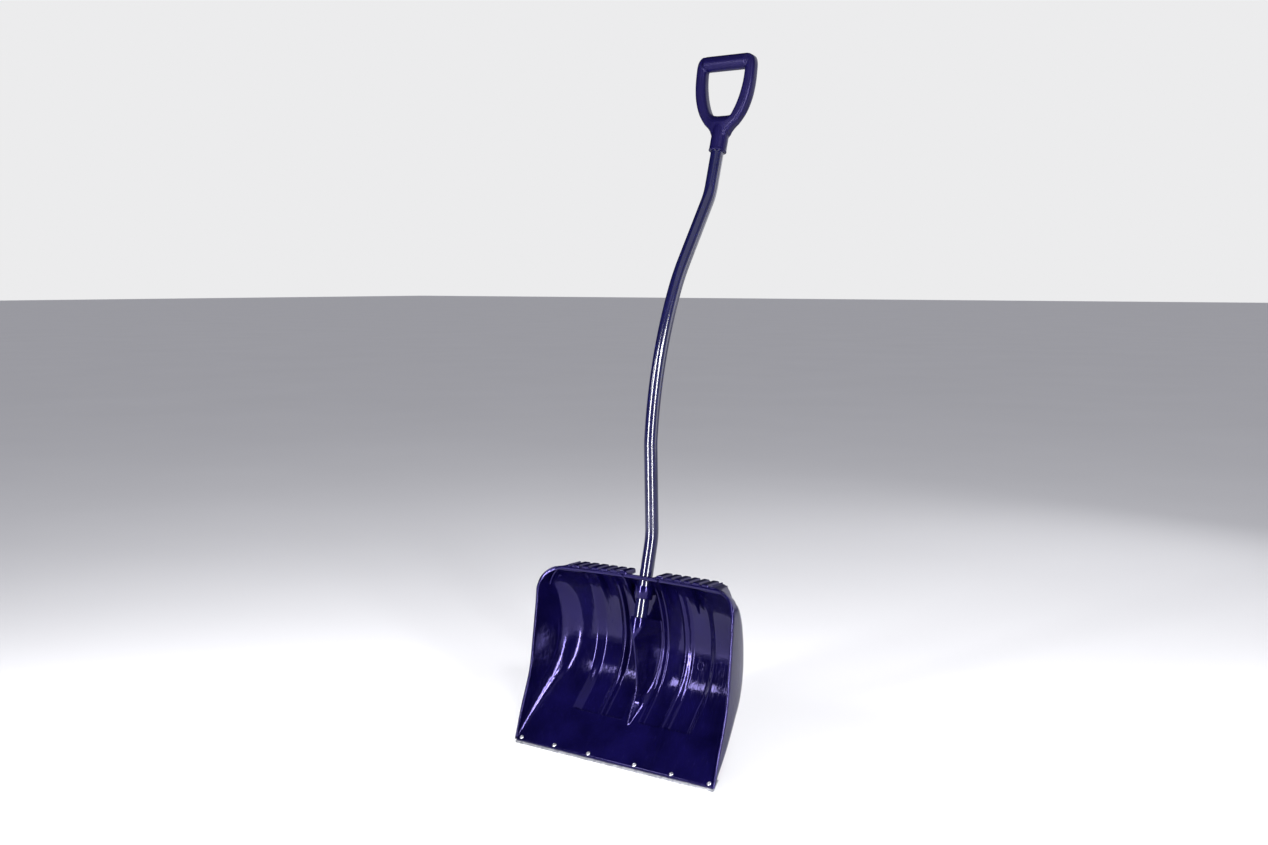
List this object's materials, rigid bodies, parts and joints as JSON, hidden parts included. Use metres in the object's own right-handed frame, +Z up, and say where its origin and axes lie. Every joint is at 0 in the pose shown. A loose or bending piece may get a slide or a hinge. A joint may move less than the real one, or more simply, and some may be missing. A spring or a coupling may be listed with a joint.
{
  "type": "snow shovel",
  "caption": "Snow shovel with a wide curved plastic scoop, riveted steel wear strip, foot steps, ergonomic bent steel tube handle and D-grip.",
  "frame": {"origin": "centre of the bounding box at its bottom: on the ground, under the middle between the strip's edge and the back of the D-grip", "axes": "+X to the right seen from the open front of the scoop, +Y backwards, +Z up along the handle; the shovel is upright with its strip edge on the ground, where it has to be held by its grip: it can't stand there alone"},
  "size_m": [0.457, 0.4049, 1.324],
  "materials": {
    "scoop_plastic": "glossy injection-moulded polypropylene, deep navy",
    "galvanised_steel": "galvanised sheet, dull grey",
    "rivet_aluminium": "bright drawn aluminium",
    "mandrel_steel": "broken steel mandrel, grey",
    "tube_paint": "glossy navy powder coat on steel tube",
    "grip_plastic": "satin injection-moulded plastic, navy",
    "screw_steel": "zinc-plated steel"
  },
  "bodies": {
    "root": {"blade_scoop": "scoop_plastic", "wear_strip": "galvanised_steel", "strip_rivet_bodies": "rivet_aluminium", "strip_rivet_mandrels": "mandrel_steel", "handle_tube": "tube_paint", "d_grip": "grip_plastic", "socket_screw": "screw_steel", "grip_screw": "screw_steel"}
  },
  "joints": []
}
